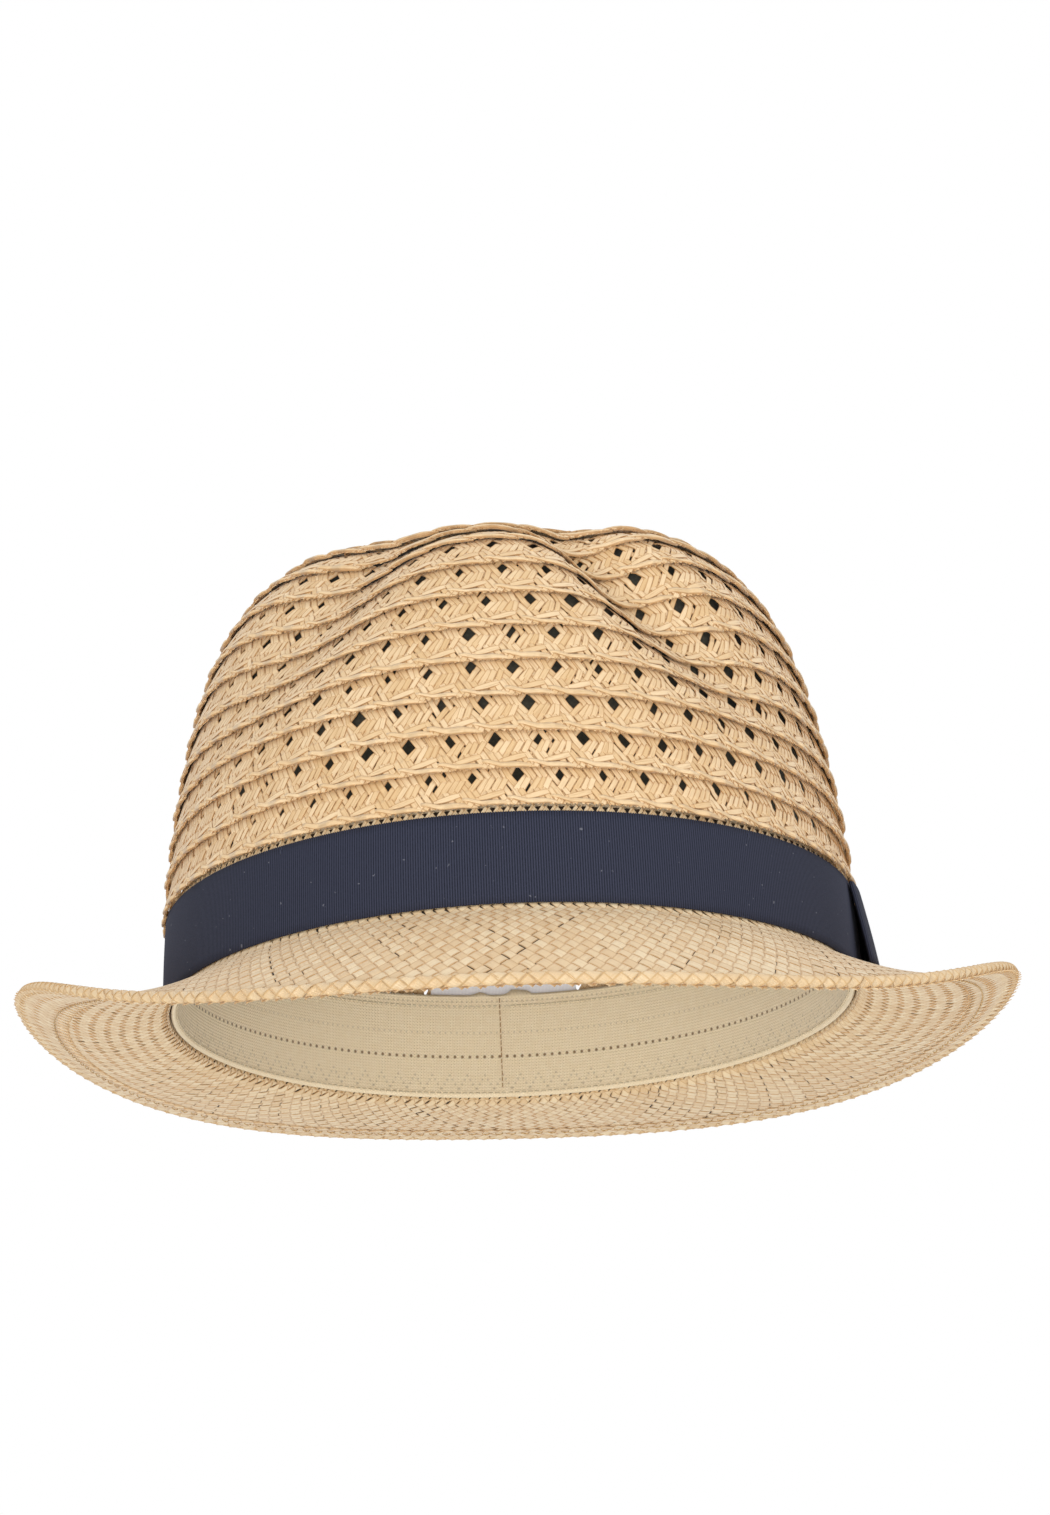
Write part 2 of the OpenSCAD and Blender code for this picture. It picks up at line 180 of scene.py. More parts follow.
def crown_point(s, n, angle):
    """Points of the blocked crown, with the two front dimples, the crease along the top and the peak."""
    inset = np.minimum(np.interp(s, wall_run, wall_inset), half_width) - n * np.cos(lean(s))
    long = np.maximum(half_length - inset, 0.4)
    wide = np.maximum(half_width - inset, 0.4)
    degrees = (np.degrees(angle) + 180) % 360 - 180
    press = dimple(1, 11, 36, 18, 11, s, degrees) + dimple(-1, 8, 46, 32, 17, s, degrees)
    out_x, out_y = np.sin(angle) * half_length, -np.cos(angle) * half_width
    out = np.hypot(out_x, out_y)
    x = wide * np.sin(angle) - out_x / out * press * 0.8
    y = -long * np.cos(angle) - out_y / out * press * 0.8
    crease = 24 * np.exp(-((x / 24) ** 2)) * smooth((y + 66) / 36) * smooth((84 - y) / 50)
    peak = 4.5 * np.exp(-((x / 30) ** 2)) * smooth((-y - 30) / 40) * smooth((s - 95) / 25)
    height = np.interp(s, wall_run, wall_height) + n * np.sin(lean(s)) - press * 0.6
    return np.stack([x, y, height - crease - peak], axis=-1)


def course_point(s, n, angle):
    """The same with s measured along the courses, which lie higher at the front than at the sides."""
    rise = 7 * smooth(s / 110) * smooth((crown_end - s) / 60) * np.cos(angle)
    return crown_point(s + rise, n, angle)


# ---- Crown braid ----
# Sixteen courses of straw tape, each plaited on the slant with one straw in six left out, so that a diamond
# hole opens in every repeat. A thick corded selvedge laps each course over the one below, where it is sewn.
def straw_blank(sides, steps):
    """One straw before it is laid: a closed rod 1 long in x. With four sides it is a flat splint that
    reaches 1 each way and keeps its edges crisp; with more it is a round cord of radius 1."""
    flat = sides == 4
    bm = bmesh.new()
    bmesh.ops.create_circle(
        bm, cap_ends=True, segments=sides, radius=math.sqrt(2) if flat else 1,
        matrix=Matrix.Rotation(math.pi / 2, 4, "Y") @ Matrix.Rotation(math.pi / sides, 4, "Z"),
    )
    tip = bm.faces[:]
    for _ in range(steps):
        made = bmesh.ops.extrude_face_region(bm, geom=tip)["geom"]
        tip = [f for f in made if isinstance(f, bmesh.types.BMFace)]
        bmesh.ops.translate(bm, vec=(1 / steps, 0, 0), verts=[v for f in tip for v in f.verts])
    bmesh.ops.holes_fill(bm, edges=[e for e in bm.edges if e.is_boundary], sides=sides)
    bmesh.ops.recalc_face_normals(bm, faces=bm.faces)
    for edge in bm.edges:
        edge.smooth = not flat
    blank = bpy.data.meshes.new("straw_blank")
    bm.to_mesh(blank)
    bm.free()
    return blank


def lay_straws(name, blank, count, place, tones):
    """One piece of count straws. place gives each straw's points and the straw's length along them."""
    piece = bpy.data.objects.new(name, blank)
    bpy.context.collection.objects.link(piece)
    row = piece.modifiers.new("row", "ARRAY")
    row.count = count
    row.use_relative_offset = False
    mesh = bpy.data.meshes.new_from_object(piece.evaluated_get(bpy.context.evaluated_depsgraph_get()))
    piece.modifiers.clear()
    piece.data = mesh
    unit = np.empty(len(mesh.vertices) * 3)
    mesh.vertices.foreach_get("co", unit)
    unit = unit.reshape(-1, 3)
    straw = np.arange(len(unit)) // len(blank.vertices)
    points, length = place(straw, unit)
    mesh.vertices.foreach_set("co", (points * MM).ravel())
    mesh.attributes.new("tone", "FLOAT", "POINT").data.foreach_set("value", tones[straw])
    corner = np.empty(len(mesh.loops), dtype=np.int32)
    mesh.loops.foreach_get("vertex_index", corner)
    along = np.stack([unit[corner, 0] * length, unit[corner, 1]], axis=-1)
    mesh.uv_layers.new(name="along").data.foreach_set("uv", along.ravel())
    mesh.shade_smooth()
    mesh.update()
    return piece


def split_straw(name, pale, tan, dark_grain_and_edge_shade):
    """Split straw, bleached and pressed flat: a soft satin gloss, fine grain along each straw, edges painted
    darker as the shade in the creases between straws, and every straw its own tone."""
    material = bpy.data.materials.new(name)
    material.use_nodes = True
    tree = material.node_tree
    shader = tree.nodes["Principled BSDF"]
    along = add_node(tree, "ShaderNodeUVMap", uv_map="along")
    tone = add_node(tree, "ShaderNodeAttribute", attribute_name="tone").outputs["Fac"]
    split = add_node(tree, "ShaderNodeSeparateXYZ", {0: along.outputs[0]})
    # The grain is about 0.1 mm wide and 4 mm long; it is drawn some 0.3 mm wide so that it shows.
    length_way = add_node(tree, "ShaderNodeMath", {0: split.outputs[0], 1: 0.3}, operation="MULTIPLY")
    width_way = add_node(tree, "ShaderNodeMath", {0: split.outputs[1], 1: 2.2}, operation="MULTIPLY")
    own_way = add_node(tree, "ShaderNodeMath", {0: tone, 1: 90.0}, operation="MULTIPLY")
    grain_at = add_node(tree, "ShaderNodeCombineXYZ", {
        0: length_way.outputs[0], 1: width_way.outputs[0], 2: own_way.outputs[0],
    })
    grain = add_node(tree, "ShaderNodeTexNoise", {
        "Vector": grain_at.outputs[0], "Scale": 1, "Detail": 3,
    })
    toned = add_node(tree, "ShaderNodeMix", {0: tone, 6: colour(pale), 7: colour(tan)}, data_type="RGBA")
    grain_depth = add_node(tree, "ShaderNodeMapRange", {
        "Value": grain.outputs[0], "From Min": 0.5, "From Max": 0.75, "To Min": 0, "To Max": 0.4,
    })
    grained = add_node(tree, "ShaderNodeMix", {
        0: grain_depth.outputs[0], 6: toned.outputs[2], 7: colour(dark_grain_and_edge_shade),
    }, data_type="RGBA")
    # Painted shade: each straw's edges are darkened, as the shade in the creases between neighbouring straws.
    sideways = add_node(tree, "ShaderNodeMath", {0: split.outputs[1]}, operation="ABSOLUTE")
    edge = add_node(tree, "ShaderNodeMapRange", {
        "Value": sideways.outputs[0], "From Min": 0.62, "From Max": 1, "To Min": 0, "To Max": 0.85,
    }, interpolation_type="SMOOTHSTEP")
    edge_shaded = add_node(tree, "ShaderNodeMix", {
        0: edge.outputs[0], 6: grained.outputs[2], 7: colour(dark_grain_and_edge_shade),
    }, data_type="RGBA")
    tree.links.new(edge_shaded.outputs[2], shader.inputs["Base Color"])
    relief = add_node(tree, "ShaderNodeBump", {
        "Height": grain.outputs[0], "Strength": 0.35, "Distance": 0.2 * MM,
    })
    tree.links.new(relief.outputs[0], shader.inputs["Normal"])
    shader.inputs["Roughness"].default_value = 0.52
    shader.inputs["IOR"].default_value = 1.5
    shader.inputs["Sheen Weight"].default_value = 0.2
    return material


braid_straw = split_straw("bleached_braid_straw", "#efd3a9", "#e0bd8b", "#b5834a")
flat_blank = straw_blank(4, 9)
cord_blank = straw_blank(6, 9)
braid_low = 24
course_pitch = 8.6
braid_width = 10.6
braid_inner = -1
braid_lap = 1.6
braid_half_thickness = 0.55
braid_repeat = 10.3
slots = 6
slant = math.radians(58)
hole_row = 5
straw_half_width = 0.7
straw_half_thickness = 0.09
straw_lift = 0.15
straw_shingle = 0.05
straw_shift = 0.12
straw_turn = 0.035
cord_length = 13.2
cord_radius = 0.7
cord_wander = 0.12


def braid_course(name, low, width, lap, gape, seed):
    """One course of braid and its selvedge, laid round the block with its lower edge at low. gape is how
    far in mm the straws beside each hole are pushed aside, in front and behind; below 0 they close it."""
    rng = np.random.default_rng(seed)
    ring = np.linspace(0, 2 * np.pi, 1441)
    middle = course_point(low + width / 2, 0, ring)
    run = np.concatenate([[0], np.cumsum(np.linalg.norm(np.diff(middle, axis=0), axis=1))])
    repeats = round(run[-1] / braid_repeat)
    step = run[-1] / repeats
    pitch = step / slots
    row = pitch * math.tan(slant) / 2
    start = rng.uniform(0, step)

    def on_block(t, w, lift):
        angle = np.interp(np.mod(t + start, run[-1]), run, ring)
        return course_point(low + w, braid_inner + lap * (1 - w / width) + braid_half_thickness + lift, angle)

    per_repeat = 2 * (slots - 1)
    count = repeats * per_repeat
    shift = rng.normal(0, straw_shift, count)
    breadth = rng.uniform(0.92, 1.1, count)
    turned = rng.normal(0, straw_turn, count)
    pushed = rng.uniform(-0.1, 1.5, count)

    def slanted(straw, unit):
        slot = straw % (slots - 1)
        hand = np.where(straw % per_repeat < slots - 1, 1, -1)
        # Two points to every pass over or under: each pass lies flat, and the straw dives between passes.
        rows = 9 * unit[:, 0] - 4.5
        passes = rows - 0.25 * np.cos(np.pi * (rows + 0.5))
        w = np.clip(row * (passes + hole_row - 1.5), -0.2, width)
        base = (straw // per_repeat + slot / slots) * step + np.where(hand > 0, 0, hole_row * pitch)
        beside_hole = np.exp(-(((w - hole_row * row) / 2) ** 2))
        behind = 0.5 - 0.5 * np.cos(2 * np.pi * (base + start) / run[-1])
        opened = gape[0] + (gape[1] - gape[0]) * behind
        aside = opened * np.array([1, 0.6, 0.1, -0.6, -1])[slot] * pushed[straw] * beside_hole
        t = base + shift[straw] + aside + hand * w * (1 / math.tan(slant) + turned[straw])
        lift = hand * straw_lift * np.sign(np.cos(np.pi / 2 * passes))
        half = straw_half_width * breadth[straw] * unit[:, 1]
        return on_block(
            t - math.sin(slant) * half,
            w + hand * math.cos(slant) * half,
            lift + straw_shingle * unit[:, 1] + straw_half_thickness * unit[:, 2],
        ), width / math.sin(slant)

    straws = lay_straws(name, flat_blank, count, slanted, rng.uniform(0, 1, count))
    straws.data.materials.append(braid_straw)

    wander = rng.normal(0, cord_wander, (repeats, 3))

    def corded(straw, unit):
        l = unit[:, 0]
        around = np.arctan2(unit[:, 2], unit[:, 1])
        plump = (0.35 + 0.65 * np.sin(np.pi * (0.08 + 0.84 * l)) ** 0.8) * (1 + wander[straw, 1])
        twist = 1 + 0.13 * np.cos(2 * around - 4 * np.pi * l)
        t = straw * step + wander[straw, 0] * 3 + cord_length * l
        w = 0.25 + 1.2 * (1 - smooth(l / 0.38)) - 0.3 * smooth((l - 0.7) / 0.3) + wander[straw, 2]
        lift = 0.26 - 0.6 * smooth((l - 0.5) / 0.5) - 0.2 * (1 - smooth(l / 0.15))
        radius = cord_radius * plump * twist
        return on_block(t, w + radius * unit[:, 1], lift + 0.8 * radius * unit[:, 2]), cord_length

    cord = lay_straws(name + "_selvedge", cord_blank, repeats, corded, rng.uniform(0, 0.6, repeats))
    cord.data.materials.append(braid_straw)

    def turned_in(straw, unit):
        l = unit[:, 0]
        t = straw * step + 3.4 + wander[straw, 1] * 3 + 7.6 * l
        w = 1.2 + 1.9 * l ** 1.4
        lift = 0.42 - 0.5 * smooth((l - 0.55) / 0.45)
        half = 0.72 * np.sin(np.pi * (0.15 + 0.7 * l))
        return on_block(t - 0.25 * half * unit[:, 1], w + half * unit[:, 1], lift + 0.12 * unit[:, 2]), 8

    ply = lay_straws(name + "_turned_straws", flat_blank, repeats, turned_in, rng.uniform(0, 0.8, repeats))
    ply.data.materials.append(braid_straw)
    return straws, cord, ply


course_count = 16
for k in range(course_count):
    node = f"braid_course_{k + 1:02d}"
    # The lowest course is pulled tight by its seam. It and the next close up towards the back, where their
    # holes lie below the lining.
    gape = ((0.4, -0.8), (0.95, -0.6), (0.95, 0.95))[min(k, 2)]
    low = braid_low + k * course_pitch
    made = braid_course(f"plait_{k + 1:02d}", low, braid_width, braid_lap, gape, 3 * k + 5)
    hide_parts(node)
    for piece in made:
        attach(piece, "root")


# ---- Crown tip ----
# The oblong coil where the braid is started. Its straws run in to the middle line of the crown.
tip_low = braid_low + course_count * course_pitch
made = braid_course("tip_plait", tip_low, crown_end - tip_low, 0.6, (0.4, 0.4), 40)
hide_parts("crown_tip")
start_lie = np.array([-1.3, 1.3, 0])


def on_middle_line(straw, unit):
    points = crown_point(crown_end, 0.9 + 0.25 * (straw == 2) + 0.1 * unit[:, 2], np.pi * unit[:, 0])
    taper = 0.4 + 0.6 * np.sin(np.pi * unit[:, 0])
    points[:, 0] += start_lie[straw] * taper + 1.1 * taper * unit[:, 1]
    return points, 2 * (half_length - half_width)


# Three straws of the braid's first end lie flat along that line and close it.
braid_start = lay_straws("braid_start", flat_blank, 3, on_middle_line, np.array([0.3, 0.6, 0.2]))
braid_start.data.materials.append(braid_straw)
for piece in (*made, braid_start):
    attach(piece, "root")


# ---- Brim weave ----
# One sheet of fine straw plaited over and under on the slant. It runs from under the band, round the bend
# and out over the brim, rolls round the edge wire and is turned under as a hem.
straws_each_way = 200
straw_drift = 0.08
pinhole_share = 0.14
rim_roll = 2.9
brim_thickness = 1
film_thickness = 0.08
woven_straw = split_straw("fine_woven_straw", "#efd8b1", "#e0c092", "#c39a65")


def reach(angle):
    """How far the edge of the brim stands out from the crown."""
    return (
        40.4 - 4.5 * np.cos(angle) + 2 * np.cos(2 * angle) + 3 * np.cos(3 * angle) - 0.5 * np.cos(4 * angle)
        + 1.7 * np.sin(angle)
    )


def edge_height(angle):
    """How high the edge of the brim stands: down in front, up at the back and sides."""
    return (
        -5.5 - 14 * np.cos(angle) - 10.25 * np.cos(2 * angle) + 2.4 * np.cos(4 * angle) - 1.9 * np.sin(angle)
    )


def brim_height(u, angle):
    r = u / reach(angle)
    sag = (2.5 - 1.5 * np.cos(2 * angle)) * 4 * r * (1 - r)
    return edge_height(angle) * np.maximum(r, 0) ** 1.3 - sag + 1.2 * np.exp(-u / 0.8)


def brim_point(u, n, angle):
    """Points of the brim: u out from the crown and n above its upper face."""
    slope = np.arctan((brim_height(u + 0.1, angle) - brim_height(u, angle)) / 0.1)
    out_x, out_y = np.sin(angle) * half_length, -np.cos(angle) * half_width
    out = np.hypot(out_x, out_y)
    outward = u - n * np.sin(slope)
    x = half_width * np.sin(angle) + out_x / out * outward
    y = -half_length * np.cos(angle) + out_y / out * outward
    return np.stack([x, y, brim_height(u, angle) + n * np.cos(slope)], axis=-1)


def weave(name, surface, first, last, steps, lift, breadth, seed):
    """Two pieces, one for each slant, from the first to the last crossing. surface takes crossing, height
    and angle; every straw passes over at one crossing and under at the next. breadth is the narrowest and
    the widest straw, as a share of their spacing."""
    pieces = []
    blank = straw_blank(4, steps)
    for hand, label in ((1, "right"), (-1, "left")):
        rng = np.random.default_rng(seed + hand)
        half_width_of = rng.uniform(*breadth, straws_each_way) / 2
        drift = rng.normal(0, straw_drift, straws_each_way)

        def plaited(straw, unit):
            crossing = first + 0.25 + (last - first) * unit[:, 0]
            over = hand * np.clip(1.42 * np.cos(np.pi * crossing), -1, 1)
            # Straws thin out here and there, which leaves pinholes in patches.
            patches = np.sin(2.4 * straw) + np.sin(0.37 * crossing + 0.9 * straw)
            thinned = 1 - pinhole_share * np.clip(patches, 0, 1)
            half = half_width_of[straw] * thinned * unit[:, 1]
            turn = (2 * straw + hand * crossing + drift[straw] + half) * np.pi / straws_each_way
            height = lift * over + straw_half_thickness * unit[:, 2]
            return surface(crossing - hand * half, height, turn), 2 * (last - first)

        tones = rng.uniform(0, 1, straws_each_way)
        piece = lay_straws(f"{name}_{label}", blank, straws_each_way, plaited, tones)
        piece.data.materials.append(woven_straw)
        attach(piece, "root")
        pieces.append(piece)
    return pieces


brim_crossings = 18
spread = math.exp(brim_crossings * math.pi / straws_each_way) - 1


def on_brim(crossing, lift, angle):
    """The crossings spread out with the brim's girth, so that the straws keep their slant."""
    out = (np.exp(crossing * math.pi / straws_each_way) - 1) / spread
    return brim_point(np.maximum(out, 0) * (reach(angle) - rim_roll), lift - brim_thickness / 2, angle)


brim_straws = weave(
    "brim_straws", on_brim, -1, brim_crossings, 2 * brim_crossings + 2, 0.15, (0.9, 1.04), 100
)
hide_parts("brim")


# ---- Brim stiffening ----
# The weave is dipped in size, which keeps the brim's shape; its thin film is coloured dark as painted shade,
# seen in the gaps as pinholes.
def ring_sheet(name, around, across, place, thickness, offset=-1):
    """A sheet that runs right round the hat: a flat grid bent by place, joined at its ends and given its
    thickness. place takes how far round and how far across, from 0 to 1."""
    bm = bmesh.new()
    bm.loops.layers.uv.new("along")
    bmesh.ops.create_grid(bm, x_segments=around, y_segments=across, size=0.5, calc_uvs=True)
    flat = np.array([v.co for v in bm.verts]) + 0.5
    for vert, point in zip(bm.verts, place(flat[:, 0], flat[:, 1]) * MM):
        vert.co = point
    bmesh.ops.remove_doubles(bm, verts=bm.verts, dist=1e-6)
    mesh = bpy.data.meshes.new(name)
    bm.to_mesh(mesh)
    bm.free()
    mesh.shade_smooth()
    piece = bpy.data.objects.new(name, mesh)
    bpy.context.collection.objects.link(piece)
    wall = piece.modifiers.new("wall", "SOLIDIFY")
    wall.thickness = thickness * MM
    wall.offset = offset
    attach(piece, "root")
    return piece


def dried_size(name, thick, thin):
    """Dried size: a brittle film, patchy over a few millimetres."""
    material = bpy.data.materials.new(name)
    material.use_nodes = True
    tree = material.node_tree
    shader = tree.nodes["Principled BSDF"]
    at = add_node(tree, "ShaderNodeTexCoord")
    patches = add_node(tree, "ShaderNodeTexNoise", {
        "Vector": at.outputs["Object"], "Scale": 1 / (3 * MM), "Detail": 2,
    })
    tint = add_node(tree, "ShaderNodeMix", {
        0: patches.outputs[0], 6: colour(thick), 7: colour(thin),
    }, data_type="RGBA")
    tree.links.new(tint.outputs[2], shader.inputs["Base Color"])
    shader.inputs["Roughness"].default_value = 0.7
    return material


# Dark brown film: painted shade for the pinholes between the straws.
size_film_pinhole_shade = dried_size("dried_size_dark_pinhole_shade", "#1c160f", "#4a3926")
film = ring_sheet(
    "brim_size_film_pinhole_shade", 240, 24,
    lambda turn, out: brim_point(
        out * (reach(2 * np.pi * turn) - rim_roll), -brim_thickness / 2 + 0 * out, 2 * np.pi * turn
    ), film_thickness, 0,
)
film.data.materials.append(size_film_pinhole_shade)


# ---- Collar ----
# The same weave turned up against the crown. The lowest course of braid is sewn to it above the band.
collar_crossings = 12
collar_foot = 1.2
collar_top = 24.6


def on_collar(crossing, lift, angle):
    s = collar_foot - crossing * (collar_top - collar_foot) / collar_crossings
    return crown_point(s, lift - brim_thickness / 2, angle)


collar_straws = weave(
    "collar_straws", on_collar, -collar_crossings, 1, 2 * collar_crossings + 2, 0.15, (0.86, 1.0), 110
)
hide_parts("brim_collar")
# The same dark film, painted shade, lies inside the collar's weave.
film = ring_sheet(
    "collar_size_film_pinhole_shade", 240, 8,
    lambda turn, up: crown_point(
        0.2 + up * (collar_top - 0.4), -brim_thickness / 2 + 0 * up, 2 * np.pi * turn
    ), film_thickness, 0,
)
film.data.materials.append(size_film_pinhole_shade)


# ---- Rolled edge and hem ----
# The weave curls tightly round the edge wire, then lies turned under along the brim, where it is stitched.
# The roll is handled most and shows a warmer, polished tone.
rim_crossings = 4
hem_crossings = 4
hem_width = 8
roll_half_angle = math.radians(152)


def on_roll(crossing, lift, angle):
    t = roll_half_angle * (2 * (crossing - brim_crossings) / rim_crossings - 1)
    radius = rim_roll / 2 - 0.1 + lift
    return brim_point(
        reach(angle) - rim_roll / 2 + radius * np.cos(t), -brim_thickness / 2 - radius * np.sin(t), angle
    )


def on_hem(crossing, lift, angle):
    run = (crossing - brim_crossings - rim_crossings) / hem_crossings
    inward = run * (hem_width + rim_roll / 2 + 1) - 1
    below = 0.15 + 0.65 * (1 - smooth(inward / 2.2)) - 0.27 * smooth((inward - hem_width + 1.5) / 1.5)
    return brim_point(reach(angle) - rim_roll / 2 - inward, -brim_thickness - below - lift, angle)


rim_end = brim_crossings + rim_crossings
rim_straws = weave("rim_straws", on_roll, brim_crossings, rim_end, 16, 0.05, (1.0, 1.12), 120)
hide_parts("brim_rim")
hem_straws = weave("hem_straws", on_hem, rim_end, rim_end + hem_crossings, 12, 0.12, (0.9, 1.0), 130)
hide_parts("brim_hem")
rolled_straw = split_straw("handled_straw_roll", "#e6cda6", "#dec095", "#cda873")
for piece in rim_straws:
    piece.data.materials[0] = rolled_straw
roll_film = ring_sheet(
    "roll_size_film", 240, 16,
    lambda turn, across: on_roll(brim_crossings + across * rim_crossings, -0.4, 2 * np.pi * turn),
    film_thickness, 0,
)
roll_film.data.materials.append(dried_size("straw_toned_size", "#cfa871", "#e2c08d"))


# ---- Edge wire and sleeve ----
# Spring-steel wire keeps the snapped shape. Its ends meet at the back in a crimped aluminium sleeve. Both
# keep their frame meshes, being hidden in the roll.
def metal(name, tint, roughness):
    """Bare drawn or crimped metal, dulled by fine lengthwise scratches."""
    material = bpy.data.materials.new(name)
    material.use_nodes = True
    tree = material.node_tree
    shader = tree.nodes["Principled BSDF"]
    at = add_node(tree, "ShaderNodeTexCoord")
    scratch = add_node(tree, "ShaderNodeTexNoise", {"Vector": at.outputs["Object"], "Scale": 1 / (0.5 * MM)})
    rough = add_node(tree, "ShaderNodeMapRange", {
        "Value": scratch.outputs[0], "To Min": roughness, "To Max": roughness + 0.2,
    })
    tree.links.new(rough.outputs[0], shader.inputs["Roughness"])
    shader.inputs["Base Color"].default_value = colour(tint)
    shader.inputs["Metallic"].default_value = 1
    return material


for node, finish in (
    ("brim_wire", metal("drawn_spring_steel", "#b8b6b0", 0.3)),
    ("wire_sleeve", metal("crimped_aluminium", "#d0d0d2", 0.35)),
):
    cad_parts[node].data.materials.clear()
    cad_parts[node].data.materials.append(finish)


# ---- Threads ----
# Spun polyester sewing thread. A stitch is a short bowed rod whose ends dip into the cloth, and a row of
# them is one piece.
def spun_thread(name, light, dark):
    """Two-ply thread: matt, with the slant of the plies as faint bands along every stitch, painted as light
    and shade on the plies.
    """
    material = bpy.data.materials.new(name)
    material.use_nodes = True
    tree = material.node_tree
    shader = tree.nodes["Principled BSDF"]
    along = add_node(tree, "ShaderNodeUVMap", uv_map="along")
    # The plies turn about once a millimetre.
    ply = add_node(tree, "ShaderNodeTexWave", {
        "Vector": along.outputs[0], "Scale": 0.6,
    }, bands_direction="DIAGONAL")
    # Painted light and shade: each ply lighter on its crest, darker in the groove between.
    tint = add_node(tree, "ShaderNodeMix", {
        0: ply.outputs["Fac"], 6: colour(dark), 7: colour(light),
    }, data_type="RGBA")
    tree.links.new(tint.outputs[2], shader.inputs["Base Color"])
    shader.inputs["Roughness"].default_value = 0.8
    shader.inputs["Sheen Weight"].default_value = 0.2
    return material


thread_blank = straw_blank(6, 6)


def stitch_row(name, node, finish, count, place, length, dip, radius):
    """place gives the middle line of the row: how far round and across, and how high, for every point."""
    def sewn(stitch, unit):
        l = unit[:, 0]
        return place(stitch, l, radius * unit[:, 1], radius * unit[:, 2] - dip * (2 * l - 1) ** 2), length

    row = lay_straws(name, thread_blank, count, sewn, np.full(count, 0.5))
    row.data.materials.append(finish)
    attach(row, "root")
    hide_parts(node)
    return row


def round_row(count, filled, surface):
    """Stitches end to end round the hat, each filling that share of its step."""
    def place(stitch, l, across, height):
        return surface((stitch + 0.5 + filled * (l - 0.5)) / count * 2 * np.pi, across, height)
    return place


straw_thread = spun_thread("straw_coloured_thread", "#dcbd8c", "#a9824d")
hem_line = hem_width - 1.5
hem_stitches = 220
stitch_row(
    "hem_stitching", "hem_stitches", straw_thread, hem_stitches,
    round_row(hem_stitches, 0.6, lambda a, across, height: brim_point(
        reach(a) - rim_roll - hem_line - across, -brim_thickness - 0.7 - height, a
    )), 2.2, 0.35, 0.17,
)


# ---- Lining ----
# Thin gauze inside the upper crown, coloured dark olive as painted shade of the crown's inside, which shows
# in every hole of the braid. It is sewn in above the label, and hangs from the braid's own seams.
gauze = bpy.data.materials.new("lining_gauze_painted_crown_shade")
gauze.use_nodes = True
tree = gauze.node_tree
shader = tree.nodes["Principled BSDF"]
at = add_node(tree, "ShaderNodeTexCoord")
# Gauze threads lie 0.4 mm apart; they are drawn 0.8 mm apart so that they show.
mesh_pattern = add_node(tree, "ShaderNodeTexVoronoi", {
    "Vector": at.outputs["Object"], "Scale": 1 / (0.8 * MM),
})
# Both gauze colours are dark: painted shade of the crown's inside.
threads = add_node(tree, "ShaderNodeMix", {
    0: mesh_pattern.outputs["Distance"], 6: colour("#48463a"), 7: colour("#32312a"),
}, data_type="RGBA")
tree.links.new(threads.outputs[2], shader.inputs["Base Color"])
shader.inputs["Roughness"].default_value = 0.9
shader.inputs["Sheen Weight"].default_value = 0.1
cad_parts["crown_lining"].data.materials.clear()
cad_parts["crown_lining"].data.materials.append(gauze)


# ---- Grosgrain band ----
# Navy grosgrain ribbon, 22 mm high, woven over thick weft cords that stand as fine upright ribs and end in
# a scalloped edge. It is drawn tight round the collar and tacked.
ribbon_low, ribbon_high = 0.9, 22.9
ribbon_outer = 0.75
# Grosgrain has a rib every 0.5 mm; they are drawn 0.66 mm apart so that they show.
rib_pitch = 0.66


def grosgrain(name, warp, shade):
    """Rayon grosgrain: the crest of every rib painted lighter and the hollow between painted darker, as light
    and shade, with a little lint.
    """
    material = bpy.data.materials.new(name)
    material.use_nodes = True
    tree = material.node_tree
    shader = tree.nodes["Principled BSDF"]
    at = add_node(tree, "ShaderNodeTexCoord")
    ribs = add_node(tree, "ShaderNodeAttribute", attribute_name="tone").outputs["Fac"]
    weave_noise = add_node(tree, "ShaderNodeTexNoise", {
        "Vector": at.outputs["Object"], "Scale": 1 / (0.5 * MM), "Detail": 2,
    })
    # Painted light and shade: each rib's crest lighter, the hollow between darker.
    rib_light_and_shade = add_node(tree, "ShaderNodeMix", {0: ribs, 6: colour(shade), 7: colour(warp)}, data_type="RGBA")
    cloudy = add_node(tree, "ShaderNodeMapRange", {
        "Value": weave_noise.outputs[0], "From Min": 0.35, "From Max": 0.7, "To Min": 0, "To Max": 0.35,
    })
    flecked = add_node(tree, "ShaderNodeMix", {
        0: cloudy.outputs[0], 6: rib_light_and_shade.outputs[2], 7: colour("#353949"),
    }, data_type="RGBA")
    lint_at = add_node(tree, "ShaderNodeTexNoise", {
        "Vector": at.outputs["Object"], "Scale": 1 / (1.4 * MM), "Detail": 1,
    })
    lint = add_node(tree, "ShaderNodeMapRange", {
        "Value": lint_at.outputs[0], "From Min": 0.76, "From Max": 0.8, "To Min": 0, "To Max": 0.35,
    })
    linted = add_node(tree, "ShaderNodeMix", {
        0: lint.outputs[0], 6: flecked.outputs[2], 7: colour("#9a9ca6"),
    }, data_type="RGBA")
    tree.links.new(linted.outputs[2], shader.inputs["Base Color"])
    relief = add_node(tree, "ShaderNodeBump", {
        "Height": weave_noise.outputs[0], "Strength": 0.3, "Distance": 0.2 * MM,
    })
    tree.links.new(relief.outputs[0], shader.inputs["Normal"])
    shader.inputs["Roughness"].default_value = 0.8
    shader.inputs["Specular IOR Level"].default_value = 0.2
    shader.inputs["Sheen Weight"].default_value = 0.02
    return material


